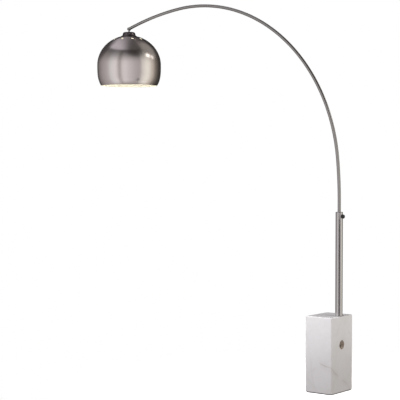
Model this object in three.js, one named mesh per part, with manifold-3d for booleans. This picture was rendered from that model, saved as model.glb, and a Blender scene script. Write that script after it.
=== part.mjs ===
// Arc floor lamp: a stone block carries a steel post, and a long curved rod slides and turns in the
// post and holds a domed metal shade on a tilting knuckle.
// Millimetres, +Z up. The origin is on the floor under the centre of the block. The arm lies in the
// XZ plane and reaches towards -X.
import * as THREE from 'three';
import { mergeVertices } from 'three/addons/utils/BufferGeometryUtils.js';
import Module from 'manifold-3d';

const wasm = await Module();
wasm.setup();

// ---- driving dimensions ----
const FIT_GAP = 0.3; // clearance left between touching pieces

const PAD_THICKNESS = 3;
const PAD_INSET = 4;
const BLOCK_X = 160;
const BLOCK_Y = 208;
const BLOCK_HEIGHT = 400;
const BLOCK_EDGE = 5; // rounding of the block's edges
const LIFT_HOLE_RADIUS = 23;
const LIFT_HOLE_Z = 252.5;
const LIFT_HOLE_CHAMFER = 2;

const POST_X = 60;
const POST_RADIUS = 19;
const POST_WALL = 1.6;
const POST_TOP_Z = 950;
const BUSH_FLANGE = 3;
const BUSH_DEPTH = 42;
const STUD_RADIUS = 6;
const STUD_END_Z = 452;
const INSERT_RADIUS = 11;
const INSERT_DEPTH = 85;
const PLUG_HEIGHT = 30;
const GROMMET_Z = 466;
const GROMMET_RADIUS = 5;

const CLAMP_Z = 927;
const CLAMP_SCREW_RADIUS = 3;
const CLAMP_INSERT_RADIUS = 5;
const CLAMP_INSERT_START_X = 12.4; // inner end of the threaded insert, from the post's axis
const KNOB_RADIUS = 11;
const KNOB_LENGTH = 10;
const KNOB_LOBES = 8;

const ROD_RADIUS = 8.5;
const ROD_WALL = 1.2;
const ROD_TAIL_Z = 530; // lower end of the rod inside the post
const BEND_START_Z = 1000; // the rod is straight below this height
// Bends from the post outwards. Each ends where the rod leans this far from upright.
const ROD_BENDS = [
  { radius: 2362, end: THREE.MathUtils.degToRad(5.7) },
  { radius: 949, end: THREE.MathUtils.degToRad(97.94) },
  { radius: 1787, end: THREE.MathUtils.degToRad(109.99) },
];
const SECTION_ANGLES = [45, 85].map(THREE.MathUtils.degToRad); // where the rod's three sections meet
const ROD_SIDES = 12; // facets around the rod
const ROD_STEP = 40; // length of one facet along the rod
const SPIGOT_LENGTH = 80;
const SPIGOT_WALL = 1.5;
const JOINT_SCREW_RADIUS = 2;
const JOINT_SCREW_OFFSET = 14; // from a section joint to its locking screw
const LEAD_RADIUS = 3;
const LEAD_TAIL = 12; // from the rod's tail to the end of the lead's run
const LEAD_SHORT = 44; // from the knuckle's pin back to the end of the lead's run
const TAIL_BUSH_Z = 545;
const TAIL_BUSH_LENGTH = 25;

const KNUCKLE_RADIUS = 9;
const KNUCKLE_HALF = 7.5; // half of the knuckle's width along Y
const KNUCKLE_GAP = 1; // from the joint plane to each half
const KNUCKLE_ROOM = 1.6; // cut around each disc so that the other half can turn past it
const PIN_RADIUS = 2;
const ROD_END_GAP = 11.3; // from the knuckle's pin to the end of the rod's tube
const SHANK_START = 10; // the shank in the rod's end, from the knuckle's pin
const SHANK_END = 30;
const STEM_RADIUS = 4.9;
const STEM_END = -60;

const SHADE_RADIUS = 187.5;
const SHADE_CROWN = 175; // from the widest ring up to the top of the dome
const SHADE_CENTRE = -213; // height of the widest ring, from the knuckle's pin
const SHADE_SKIRT = 121; // from the widest ring down to the rim
const SKIRT_STRETCH = 192; // depth at which the skirt would close
const SKIRT_POWER = 3.2; // how late the skirt curves in
const SHADE_WALL = 0.8;
const VENT_COUNT = 10;
const VENT_START = THREE.MathUtils.degToRad(-2.3);
const VENT_RING_RADIUS = 95;
const VENT_RADIUS = 7.5;
const CAP_TOP = -18.3;
const CAP_RADIUS = 37;
const CAP_SHOULDER = 12;
const CAP_WALL = 1.5;
const CAP_HOLE_COUNT = 12;
const CAP_HOLE_RADIUS = 3.5;
const CAP_HOLE_Z = -28.5;

const HOLDER_TOP = -53;
const HOLDER_LENGTH = 59;
const HOLDER_RADIUS = 21;
const BULB_BASE_RADIUS = 13.2;
const BULB_BASE_WALL = 0.8;
const BULB_WALL = 1;
const BULB_RADIUS = 30;
const BULB_CENTRE = -172;

const SIDES = 18; // facets around a small turned piece

const UP = new THREE.Vector3(0, 0, 1);
const SIDE = new THREE.Vector3(0, 1, 0);
const OUT = new THREE.Vector3(1, 0, 0);

// ---- materials ----
function finish(color, roughness, metalness) {
  return new THREE.MeshStandardMaterial({ color, roughness, metalness });
}
const marble = finish(0xe6e5e3, 0.3, 0);
const steel = finish(0xb3b0ad, 0.25, 1);
const nickel = finish(0x9c9693, 0.32, 1);
const darkNickel = finish(0x55504c, 0.4, 1);
const plainSteel = finish(0x8d8d8d, 0.5, 1);
const blackPlastic = finish(0x171717, 0.4, 0);
const nylon = finish(0xdcdad2, 0.5, 0);
const rubber = finish(0x1d1d1d, 0.8, 0);
const brass = finish(0xb99a5a, 0.35, 1);
const frostedGlass = finish(0xfff6e4, 0.3, 0);

// ---- shape helpers ----
function toSolid(geometry) {
  const bare = geometry.index ? geometry.toNonIndexed() : geometry.clone();
  bare.deleteAttribute('normal');
  bare.deleteAttribute('uv');
  const merged = mergeVertices(bare, 1e-3);
  return new wasm.Manifold(new wasm.Mesh({
    numProp: 3,
    vertProperties: new Float32Array(merged.attributes.position.array),
    triVerts: new Uint32Array(merged.index.array),
  }));
}

function toGeometry(solid) {
  const mesh = solid.getMesh();
  const geometry = new THREE.BufferGeometry();
  geometry.setAttribute('position', new THREE.BufferAttribute(new Float32Array(mesh.vertProperties), 3));
  geometry.setIndex(new THREE.BufferAttribute(new Uint32Array(mesh.triVerts), 1));
  geometry.computeVertexNormals();
  return geometry;
}

function cut(geometry, ...tools) {
  return toGeometry(tools.reduce((solid, tool) => solid.subtract(toSolid(tool)), toSolid(geometry)));
}

function join(geometry, ...others) {
  return toGeometry(others.reduce((solid, other) => solid.add(toSolid(other)), toSolid(geometry)));
}

// Turns a profile of [radius, height] pairs about +Z. A ring's profile runs anticlockwise and closes.
function turned(profile, segments = SIDES) {
  const points = profile.map(([radius, height]) => new THREE.Vector2(radius, height));
  return new THREE.LatheGeometry(points, segments).rotateX(Math.PI / 2);
}

function ring(innerRadius, outerRadius, bottom, top, segments = SIDES) {
  return turned([
    [innerRadius, bottom], [outerRadius, bottom], [outerRadius, top],
    [innerRadius, top], [innerRadius, bottom],
  ], segments);
}

function rod(radius, bottom, top, segments = SIDES) {
  return turned([[0, bottom], [radius, bottom], [radius, top], [0, top]], segments);
}

// Turns a shape made about +Z so that its axis points along the direction given.
function along(geometry, direction) {
  const turn = new THREE.Quaternion().setFromUnitVectors(UP, direction.clone().normalize());
  return geometry.applyQuaternion(turn);
}

function roundedRectangle(sizeX, sizeY, radius) {
  const x = sizeX / 2 - radius;
  const y = sizeY / 2 - radius;
  const outline = new THREE.Shape();
  outline.absarc(x, y, radius, 0, Math.PI / 2);
  outline.absarc(-x, y, radius, Math.PI / 2, Math.PI);
  outline.absarc(-x, -y, radius, Math.PI, Math.PI * 1.5);
  outline.absarc(x, -y, radius, Math.PI * 1.5, Math.PI * 2);
  return outline;
}

function hexNut(acrossFlats, boreRadius, bottom, top) {
  const corner = acrossFlats / Math.sqrt(3);
  const outline = new THREE.Shape();
  for (let side = 0; side < 6; side += 1) {
    const angle = side * Math.PI / 3;
    const place = side === 0 ? 'moveTo' : 'lineTo';
    outline[place](corner * Math.cos(angle), corner * Math.sin(angle));
  }
  outline.closePath();
  const hole = new THREE.Path();
  hole.absarc(0, 0, boreRadius, 0, Math.PI * 2, true);
  outline.holes.push(hole);
  const size = { depth: top - bottom, bevelEnabled: false, curveSegments: 8 };
  return new THREE.ExtrudeGeometry(outline, size).translate(0, 0, bottom);
}

function piece(name, geometry, material) {
  const mesh = new THREE.Mesh(geometry, material);
  mesh.name = name;
  return mesh;
}

// ---- the rod's centre line ----
// Length is counted from the tail up: straight first, then the bends.
const STRAIGHT_LENGTH = BEND_START_Z - ROD_TAIL_Z;

// Length from the tail to where the rod leans by an angle from upright.
function rodLengthAt(angle) {
  let length = STRAIGHT_LENGTH;
  let from = 0;
  for (const { radius, end } of ROD_BENDS) {
    length += radius * Math.max(Math.min(angle, end) - from, 0);
    from = end;
  }
  return length;
}

// Position and angle from upright of the centre line at a length from the tail.
function rodPlace(length) {
  const place = { x: POST_X, z: Math.min(ROD_TAIL_Z + length, BEND_START_Z), angle: 0 };
  let left = Math.max(length - STRAIGHT_LENGTH, 0);
  for (const { radius, end } of ROD_BENDS) {
    const angle = Math.min(place.angle + left / radius, end);
    left = Math.max(left - radius * (angle - place.angle), 0);
    place.x -= radius * (Math.cos(place.angle) - Math.cos(angle));
    place.z += radius * (Math.sin(angle) - Math.sin(place.angle));
    place.angle = angle;
  }
  return place;
}

class RodLine extends THREE.Curve {
  constructor(from, to) {
    super();
    this.from = from;
    this.to = to;
  }

  getPoint(t, target = new THREE.Vector3()) {
    const place = rodPlace(this.from + (this.to - this.from) * t);
    return target.set(place.x, 0, place.z);
  }
}

// A round tube or bar that follows the rod's centre line.
function followRod(from, to, outerRadius, innerRadius, sides, stepLength) {
  const outline = new THREE.Shape();
  outline.absarc(0, 0, outerRadius, 0, Math.PI * 2);
  if (innerRadius > 0) {
    const bore = new THREE.Path();
    bore.absarc(0, 0, innerRadius, 0, Math.PI * 2, true);
    outline.holes.push(bore);
  }
  return new THREE.ExtrudeGeometry(outline, {
    steps: Math.ceil((to - from) / stepLength),
    curveSegments: sides,
    extrudePath: new RodLine(from, to),
  });
}

const ROD_END = rodLengthAt(Math.PI);
const PIVOT = rodPlace(ROD_END);
const ROD_DIRECTION = new THREE.Vector3(Math.sin(PIVOT.angle), 0, -Math.cos(PIVOT.angle)); // from pin to rod
const SECTION_JOINTS = SECTION_ANGLES.map(rodLengthAt);
const ROD_BORE = ROD_RADIUS - ROD_WALL;
const SPIGOT_RADIUS = ROD_BORE - 2 * FIT_GAP;
const BLOCK_BOTTOM = PAD_THICKNESS + FIT_GAP;
const BLOCK_TOP = BLOCK_BOTTOM + BLOCK_HEIGHT;
const GASKET_BOTTOM = BLOCK_TOP + FIT_GAP;
const GASKET_TOP = GASKET_BOTTOM + 1;
const POST_BOTTOM = GASKET_TOP + FIT_GAP;
const POST_INNER = POST_RADIUS - POST_WALL;
const TUBE_TOP = POST_TOP_Z - BUSH_FLANGE - FIT_GAP;
const PLUG_TOP = POST_BOTTOM + PLUG_HEIGHT;
const TIP_START_X = ROD_RADIUS + FIT_GAP;
const TIP_END_X = TIP_START_X + 2.4;
const SCREW_START_X = TIP_END_X + FIT_GAP;
const KNOB_START_X = POST_RADIUS + 2;
const CROWN_Z = SHADE_CENTRE + SHADE_CROWN; // top of the dome
const BULB_BASE_BOTTOM = HOLDER_TOP - HOLDER_LENGTH - 1.5;
const BULB_BASE_TOP = HOLDER_TOP - 28;

// ---- base ----
function basePad() {
  const outline = roundedRectangle(BLOCK_X - 2 * PAD_INSET, BLOCK_Y - 2 * PAD_INSET, BLOCK_EDGE);
  const size = { depth: PAD_THICKNESS, bevelEnabled: false, curveSegments: 3 };
  return piece('base_pad', new THREE.ExtrudeGeometry(outline, size), rubber);
}

function marbleBlock() {
  const outline = roundedRectangle(BLOCK_X - 2 * BLOCK_EDGE, BLOCK_Y - 2 * BLOCK_EDGE, 1);
  const body = new THREE.ExtrudeGeometry(outline, {
    depth: BLOCK_HEIGHT - 2 * BLOCK_EDGE,
    bevelThickness: BLOCK_EDGE,
    bevelSize: BLOCK_EDGE,
    bevelSegments: 3,
    curveSegments: 3,
  });
  body.translate(0, 0, BLOCK_BOTTOM + BLOCK_EDGE);
  const wide = LIFT_HOLE_RADIUS + LIFT_HOLE_CHAMFER;
  const face = BLOCK_X / 2;
  const over = 1;
  const hole = along(turned([
    [0, -face - over], [wide + over, -face - over], [LIFT_HOLE_RADIUS, -face + LIFT_HOLE_CHAMFER],
    [LIFT_HOLE_RADIUS, face - LIFT_HOLE_CHAMFER], [wide + over, face + over], [0, face + over],
  ], 32), OUT);
  hole.translate(0, 0, LIFT_HOLE_Z);
  const socket = rod(INSERT_RADIUS + FIT_GAP, BLOCK_TOP - INSERT_DEPTH, BLOCK_TOP + over);
  socket.translate(POST_X, 0, 0);
  return piece('marble_block', cut(body, hole, socket), marble);
}

function anchorInsert() {
  const bottom = BLOCK_TOP - INSERT_DEPTH + FIT_GAP;
  const body = rod(INSERT_RADIUS, bottom, BLOCK_TOP - FIT_GAP);
  const bore = rod(STUD_RADIUS + FIT_GAP, bottom + 12, BLOCK_TOP + 1);
  return piece('anchor_insert', cut(body, bore), brass);
}

function anchorStud() {
  const bottom = BLOCK_TOP - INSERT_DEPTH + 13;
  const chamfer = 1;
  return piece('anchor_stud', turned([
    [0, bottom], [STUD_RADIUS - chamfer, bottom], [STUD_RADIUS, bottom + chamfer],
    [STUD_RADIUS, STUD_END_Z - chamfer], [STUD_RADIUS - chamfer, STUD_END_Z], [0, STUD_END_Z],
  ]), plainSteel);
}

function footGasket() {
  const gasket = ring(STUD_RADIUS + FIT_GAP, POST_RADIUS - 0.2, GASKET_BOTTOM, GASKET_TOP, 32);
  return piece('foot_gasket', gasket, rubber);
}

function postFootPlug() {
  const plug = ring(STUD_RADIUS + FIT_GAP, POST_INNER - FIT_GAP, POST_BOTTOM, PLUG_TOP);
  return piece('post_foot_plug', plug, plainSteel);
}

function footNut() {
  const nut = hexNut(19, STUD_RADIUS + FIT_GAP, PLUG_TOP + FIT_GAP, PLUG_TOP + FIT_GAP + 10);
  return piece('foot_nut', nut, plainSteel);
}

// ---- post ----
function postTube() {
  const tube = ring(POST_INNER, POST_RADIUS, POST_BOTTOM, TUBE_TOP, 32);
  const clampHole = along(rod(CLAMP_INSERT_RADIUS + FIT_GAP, POST_INNER - 5, POST_RADIUS + 5, 20), OUT);
  const leadHole = along(rod(GROMMET_RADIUS + FIT_GAP, POST_INNER - 5, POST_RADIUS + 5, 20), SIDE);
  clampHole.translate(0, 0, CLAMP_Z);
  leadHole.translate(0, 0, GROMMET_Z);
  return piece('post_tube', cut(tube, clampHole, leadHole), steel);
}

function postTopBush() {
  const bore = ROD_RADIUS + 0.4;
  const sleeve = POST_INNER - FIT_GAP;
  const flangeBottom = POST_TOP_Z - BUSH_FLANGE;
  const chamfer = 1.2;
  const body = turned([
    [bore, POST_TOP_Z - BUSH_DEPTH], [sleeve, POST_TOP_Z - BUSH_DEPTH], [sleeve, flangeBottom],
    [POST_RADIUS, flangeBottom], [POST_RADIUS, POST_TOP_Z - chamfer], [POST_RADIUS - chamfer, POST_TOP_Z],
    [bore, POST_TOP_Z], [bore, POST_TOP_Z - BUSH_DEPTH],
  ], 32);
  const sideHole = along(rod(CLAMP_INSERT_RADIUS + 0.6, 3, POST_RADIUS + 3, 20), OUT);
  return piece('post_top_bush', cut(body, sideHole.translate(0, 0, CLAMP_Z)), steel);
}

function cordGrommet() {
  const bore = 3.5;
  const inside = POST_INNER - 2;
  const face = POST_RADIUS + FIT_GAP;
  const ringShape = along(turned([
    [bore, inside], [GROMMET_RADIUS, inside], [GROMMET_RADIUS, face], [GROMMET_RADIUS + 2.5, face],
    [GROMMET_RADIUS + 2, face + 1.6], [bore + 0.6, face + 2.2], [bore, face + 1.6], [bore, inside],
  ], 20), SIDE);
  return piece('cord_grommet', ringShape.translate(0, 0, GROMMET_Z), rubber);
}

// ---- clamp: the knob's screw presses a nylon tip on the rod ----
function clampInsert() {
  const bore = CLAMP_SCREW_RADIUS + FIT_GAP;
  const face = POST_RADIUS + FIT_GAP;
  const body = along(turned([
    [bore, CLAMP_INSERT_START_X], [CLAMP_INSERT_RADIUS, CLAMP_INSERT_START_X], [CLAMP_INSERT_RADIUS, face],
    [7, face], [7, face + 0.9], [bore, face + 0.9], [bore, CLAMP_INSERT_START_X],
  ], 20), OUT);
  return piece('clamp_insert', body.translate(0, 0, CLAMP_Z), plainSteel);
}

function clampTip() {
  const tip = along(rod(CLAMP_SCREW_RADIUS - 0.2, TIP_START_X, TIP_END_X, 16), OUT);
  return piece('clamp_tip', tip.translate(0, 0, CLAMP_Z), nylon);
}

function clampScrew() {
  const screw = along(rod(CLAMP_SCREW_RADIUS, SCREW_START_X, KNOB_START_X + 6.5, 16), OUT);
  return piece('clamp_screw', screw.translate(0, 0, CLAMP_Z), plainSteel);
}

function clampKnob() {
  const skirt = 3.5;
  const noseRadius = 5.5;
  const steps = 5;
  const profile = [[0, 0], [KNOB_RADIUS - 0.8, 0], [KNOB_RADIUS, 0.8], [KNOB_RADIUS, skirt]];
  for (let step = 1; step <= steps; step += 1) {
    const angle = step / steps * Math.PI / 2;
    const radius = noseRadius + (KNOB_RADIUS - noseRadius) * Math.cos(angle);
    profile.push([radius, skirt + (KNOB_LENGTH - skirt) * Math.sin(angle)]);
  }
  profile.push([0, KNOB_LENGTH]);
  const lobes = [];
  const grooveAt = KNOB_RADIUS + 0.4;
  for (let lobe = 0; lobe < KNOB_LOBES; lobe += 1) {
    const angle = lobe / KNOB_LOBES * Math.PI * 2;
    const groove = rod(1.4, -1, KNOB_LENGTH + 1, 8);
    lobes.push(groove.translate(grooveAt * Math.cos(angle), grooveAt * Math.sin(angle), 0));
  }
  const socket = rod(CLAMP_SCREW_RADIUS + FIT_GAP, -1, 7, 16);
  const knob = cut(turned(profile), socket, ...lobes).translate(0, 0, KNOB_START_X);
  return piece('clamp_knob', along(knob, OUT).translate(0, 0, CLAMP_Z), blackPlastic);
}

// ---- arm ----
// Moves a shape made about +Z so that it lies on the inner side of the bend at a length from the tail.
function onInnerSide(geometry, length) {
  const place = rodPlace(length);
  const inward = new THREE.Vector3(-Math.cos(place.angle), 0, -Math.sin(place.angle));
  return along(geometry, inward).translate(place.x, 0, place.z);
}

function arcRod(name, from, to, screwAt) {
  const tube = followRod(from, to, ROD_RADIUS, ROD_BORE, ROD_SIDES / 2, ROD_STEP);
  if (screwAt === undefined) {
    return piece(name, tube, steel);
  }
  const hole = onInnerSide(rod(JOINT_SCREW_RADIUS + FIT_GAP, ROD_BORE - 3, ROD_RADIUS + 3, 12), screwAt);
  return piece(name, cut(tube, hole), steel);
}

function arcSpigot(name, joint) {
  const half = SPIGOT_LENGTH / 2;
  const inner = SPIGOT_RADIUS - SPIGOT_WALL;
  const tube = followRod(joint - half, joint + half, SPIGOT_RADIUS, inner, ROD_SIDES / 2, ROD_STEP / 2);
  const punch = rod(JOINT_SCREW_RADIUS + FIT_GAP, inner - 3, ROD_RADIUS + 3, 12);
  const hole = onInnerSide(punch, joint + JOINT_SCREW_OFFSET);
  return piece(name, cut(tube, hole), plainSteel);
}

function jointScrew(name, joint) {
  const screw = rod(JOINT_SCREW_RADIUS, SPIGOT_RADIUS - SPIGOT_WALL - 0.5, ROD_RADIUS - 0.1, 12);
  return piece(name, onInnerSide(screw, joint + JOINT_SCREW_OFFSET), plainSteel);
}

function rodTailBush() {
  const body = ring(ROD_RADIUS + FIT_GAP, POST_INNER - 0.4, TAIL_BUSH_Z, TAIL_BUSH_Z + TAIL_BUSH_LENGTH);
  return piece('rod_tail_bush', body, nylon);
}

// A spring clip that grips the rod: a ring with a mouth.
function tailClip(name, bottom) {
  const band = ring(ROD_RADIUS + 0.1, 11.5, bottom, bottom + 2, 32);
  const mouth = new THREE.BoxGeometry(20, 6, 6).translate(10, 0, bottom + 1);
  return piece(name, cut(band, mouth), plainSteel);
}

function leadInRod() {
  const lead = followRod(LEAD_TAIL, ROD_END - LEAD_SHORT, LEAD_RADIUS, 0, 3, 60);
  return piece('lead_in_rod', lead, blackPlastic);
}

// ---- knuckle: two half-thickness discs side by side on one screw ----
function discY(radius, from, to, segments = SIDES) {
  return along(rod(radius, from, to, segments), SIDE);
}

function knuckleRodHalf() {
  const disc = discY(KNUCKLE_RADIUS, -KNUCKLE_HALF, -KNUCKLE_GAP);
  const neck = along(rod(ROD_RADIUS, 3, 11), ROD_DIRECTION);
  const shank = along(rod(SPIGOT_RADIUS - FIT_GAP, SHANK_START, SHANK_END), ROD_DIRECTION);
  const side = new THREE.BoxGeometry(60, 20, 60).translate(0, -KNUCKLE_HALF - 10, 0);
  const room = discY(KNUCKLE_RADIUS + KNUCKLE_ROOM, -KNUCKLE_GAP, 20);
  const bore = discY(PIN_RADIUS + FIT_GAP, -20, 20, 16);
  const body = join(disc, cut(neck, side, room), shank);
  return piece('knuckle_rod_half', cut(body, room, bore), nickel);
}

function knuckleShadeHalf() {
  const disc = discY(KNUCKLE_RADIUS, KNUCKLE_GAP, KNUCKLE_HALF);
  const stem = rod(STEM_RADIUS, STEM_END, -5);
  const room = discY(KNUCKLE_RADIUS + KNUCKLE_ROOM, -20, KNUCKLE_GAP);
  const bore = discY(PIN_RADIUS + FIT_GAP, -20, 20, 16);
  const leadWay = rod(3, STEM_END - 1, -14, 16);
  return piece('knuckle_shade_half', cut(join(disc, stem), room, bore, leadWay), nickel);
}

function frictionWasher() {
  const washer = along(ring(2.3, 7.5, -0.7, 0.7), SIDE);
  return piece('friction_washer', washer, rubber);
}

function knuckleScrew() {
  const head = KNUCKLE_HALF + FIT_GAP;
  const body = along(turned([
    [0, -head - 2.2], [2.6, -head - 2.2], [4, -head - 0.8], [4, -head],
    [PIN_RADIUS, -head], [PIN_RADIUS, head + 3.4], [0, head + 3.4],
  ], 20), SIDE);
  return piece('knuckle_screw', body, plainSteel);
}

function knuckleNut() {
  const nut = hexNut(7, PIN_RADIUS + FIT_GAP, KNUCKLE_HALF + FIT_GAP, KNUCKLE_HALF + FIT_GAP + 3);
  return piece('knuckle_nut', along(nut, SIDE), plainSteel);
}

// ---- shade ----
// Points of the dome's wall from the stem hole out to the rim. offset moves them inwards.
function domeLine(offset, holeRadius) {
  const radius = SHADE_RADIUS - offset;
  const crownSteps = 10;
  const skirtSteps = 4;
  const first = Math.asin(holeRadius / radius);
  const line = [];
  for (let step = 0; step <= crownSteps; step += 1) {
    const angle = first + (Math.PI / 2 - first) * step / crownSteps;
    line.push([radius * Math.sin(angle), SHADE_CENTRE + (SHADE_CROWN - offset) * Math.cos(angle)]);
  }
  for (let step = 1; step <= skirtSteps; step += 1) {
    const drop = SHADE_SKIRT * step / skirtSteps;
    line.push([radius * Math.sqrt(1 - (drop / SKIRT_STRETCH) ** SKIRT_POWER), SHADE_CENTRE - drop]);
  }
  return line;
}

// A punch through the dome, square to its wall, at an angle around the crown.
function ventPunch(around) {
  const reach = 6;
  const climb = Math.asin(VENT_RING_RADIUS / SHADE_RADIUS);
  const slope = Math.atan2(Math.sin(climb) / SHADE_RADIUS, Math.cos(climb) / SHADE_CROWN);
  const outward = new THREE.Vector3(Math.cos(around), Math.sin(around), 0);
  const normal = outward.clone().multiplyScalar(Math.sin(slope)).addScaledVector(UP, Math.cos(slope));
  const place = outward.multiplyScalar(VENT_RING_RADIUS);
  place.z = SHADE_CENTRE + SHADE_CROWN * Math.cos(climb);
  return along(rod(VENT_RADIUS, -reach, reach, 8), normal).translate(place.x, place.y, place.z);
}

function shadeDome() {
  const hole = STEM_RADIUS + 0.4;
  const outer = domeLine(0, hole);
  const inner = domeLine(SHADE_WALL, hole);
  const profile = [...inner, ...outer.reverse(), inner[0]];
  const vents = [];
  for (let vent = 0; vent < VENT_COUNT; vent += 1) {
    vents.push(ventPunch(VENT_START + vent / VENT_COUNT * Math.PI * 2));
  }
  return piece('shade_dome', cut(turned(profile, 32), ...vents), nickel);
}

// Outline of the vented cap: flat top, round shoulder, then a flare down to the dome.
function capLine(offset) {
  const side = CAP_RADIUS - offset;
  const top = CAP_TOP - offset;
  const steps = 4;
  const line = [[STEM_RADIUS + 0.4, top]];
  for (let step = 0; step <= steps; step += 1) {
    const angle = Math.PI / 2 * (1 - step / steps);
    const out = CAP_SHOULDER * (Math.cos(angle) - 1);
    line.push([side + out, top + CAP_SHOULDER * (Math.sin(angle) - 1)]);
  }
  line.push([side + 0.8, -34]);
  line.push([side + 4, -39.5]);
  line.push([49 - offset * 0.4, -43.6]);
  return line;
}

function ventCap() {
  const outer = capLine(0);
  const inner = capLine(CAP_WALL);
  const profile = [...inner, ...outer.reverse(), inner[0]];
  const holes = [];
  for (let hole = 0; hole < CAP_HOLE_COUNT; hole += 1) {
    const around = hole / CAP_HOLE_COUNT * Math.PI * 2;
    const outward = new THREE.Vector3(Math.cos(around), Math.sin(around), 0);
    const punch = rod(CAP_HOLE_RADIUS, CAP_RADIUS - 9, CAP_RADIUS + 7, 8);
    holes.push(along(punch, outward).translate(0, 0, CAP_HOLE_Z));
  }
  return piece('vent_cap', cut(turned(profile, 24), ...holes), darkNickel);
}

function capSpacer() {
  const top = CAP_TOP - CAP_WALL - FIT_GAP;
  const bottom = CROWN_Z + FIT_GAP;
  return piece('cap_spacer', ring(STEM_RADIUS + FIT_GAP, 8, bottom, top), plainSteel);
}

function shadeWasher() {
  const top = CROWN_Z - SHADE_WALL - 1;
  return piece('shade_washer', ring(STEM_RADIUS + FIT_GAP, 14, top - 1.2, top), plainSteel);
}

function shadeNut() {
  const top = CROWN_Z - SHADE_WALL - 2.5;
  return piece('shade_nut', hexNut(16, STEM_RADIUS + FIT_GAP, top - 6, top), plainSteel);
}

// ---- lamp holder and bulb ----
function lampHolder() {
  const bottom = HOLDER_TOP - HOLDER_LENGTH;
  const bore = BULB_BASE_RADIUS + 1.3;
  const way = STEM_RADIUS + FIT_GAP;
  const shelf = HOLDER_TOP - 22;
  return piece('lamp_holder', turned([
    [way, HOLDER_TOP], [way, shelf], [bore, shelf], [bore, bottom], [HOLDER_RADIUS - 2, bottom],
    [HOLDER_RADIUS, bottom + 2], [HOLDER_RADIUS, HOLDER_TOP - 8], [HOLDER_RADIUS - 6, HOLDER_TOP],
    [way, HOLDER_TOP],
  ], 24), blackPlastic);
}

function holderRing() {
  const top = HOLDER_TOP - 30;
  const collar = ring(HOLDER_RADIUS + FIT_GAP, HOLDER_RADIUS + 4, top - 9, top, 24);
  return piece('holder_ring', collar, blackPlastic);
}

function bulbBase() {
  const bottom = BULB_BASE_BOTTOM;
  const top = BULB_BASE_TOP;
  const inside = BULB_BASE_RADIUS - BULB_BASE_WALL;
  return piece('bulb_base', turned([
    [0, top - BULB_BASE_WALL], [inside - 3.6, top - BULB_BASE_WALL], [inside, top - 4.4],
    [inside, bottom], [BULB_BASE_RADIUS, bottom], [BULB_BASE_RADIUS, top - 4],
    [BULB_BASE_RADIUS - 4, top], [0, top],
  ]), brass);
}

function bulbContact() {
  const bottom = BULB_BASE_TOP + FIT_GAP;
  const profile = [[0, bottom], [4.5, bottom], [3.2, bottom + 2], [0, bottom + 2]];
  return piece('bulb_contact', turned(profile, 16), brass);
}

// One side of the bulb's glass, from the bottom of the globe up to the open neck.
function bulbLine(offset) {
  const top = BULB_BASE_BOTTOM - FIT_GAP;
  const neck = 13.6 - offset;
  const radius = BULB_RADIUS - offset;
  const steps = 9;
  const last = THREE.MathUtils.degToRad(52);
  const points = [];
  for (let step = 0; step <= steps; step += 1) {
    const angle = -Math.PI / 2 + (last + Math.PI / 2) * step / steps;
    points.push([radius * Math.cos(angle), BULB_CENTRE + radius * Math.sin(angle)]);
  }
  points[0][0] = 0;
  points.push([neck + 0.8, top - 14], [neck, top]);
  return points;
}

function bulbGlass() {
  const profile = [...bulbLine(0), ...bulbLine(BULB_WALL).reverse()];
  return piece('bulb_glass', turned(profile, 20), frostedGlass);
}

// ---- the whole lamp ----
const base = new THREE.Group();
base.add(basePad(), marbleBlock());

const post = new THREE.Group();
post.position.set(POST_X, 0, 0);
post.add(anchorInsert(), anchorStud(), footGasket(), postFootPlug(), footNut());
post.add(postTube(), postTopBush(), cordGrommet(), clampInsert(), clampTip(), clampScrew(), clampKnob());
post.add(rodTailBush(), tailClip('tail_clip_lower', TAIL_BUSH_Z - FIT_GAP - 2));
post.add(tailClip('tail_clip_upper', TAIL_BUSH_Z + TAIL_BUSH_LENGTH + FIT_GAP));

const arm = new THREE.Group();
const [lowerJoint, upperJoint] = SECTION_JOINTS;
const halfGap = FIT_GAP / 2;
const [lowerScrew, upperScrew] = SECTION_JOINTS.map((joint) => joint + JOINT_SCREW_OFFSET);
arm.add(arcRod('arc_rod_lower', 0, lowerJoint - halfGap));
arm.add(arcRod('arc_rod_middle', lowerJoint + halfGap, upperJoint - halfGap, lowerScrew));
arm.add(arcRod('arc_rod_upper', upperJoint + halfGap, ROD_END - ROD_END_GAP, upperScrew));
arm.add(arcSpigot('arc_spigot_lower', lowerJoint), arcSpigot('arc_spigot_upper', upperJoint));
arm.add(jointScrew('joint_screw_lower', lowerJoint), jointScrew('joint_screw_upper', upperJoint));
arm.add(leadInRod());

const head = new THREE.Group();
head.position.set(PIVOT.x, 0, PIVOT.z);
head.add(knuckleRodHalf(), frictionWasher(), knuckleShadeHalf(), knuckleScrew(), knuckleNut());
head.add(ventCap(), capSpacer(), shadeDome(), shadeWasher(), shadeNut());
head.add(lampHolder(), holderRing(), bulbBase(), bulbContact(), bulbGlass());

const lamp = new THREE.Group();
lamp.add(base, post, arm, head);
export default lamp;
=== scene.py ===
import math

import bmesh
import bpy
from mathutils import Matrix, Vector


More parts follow.
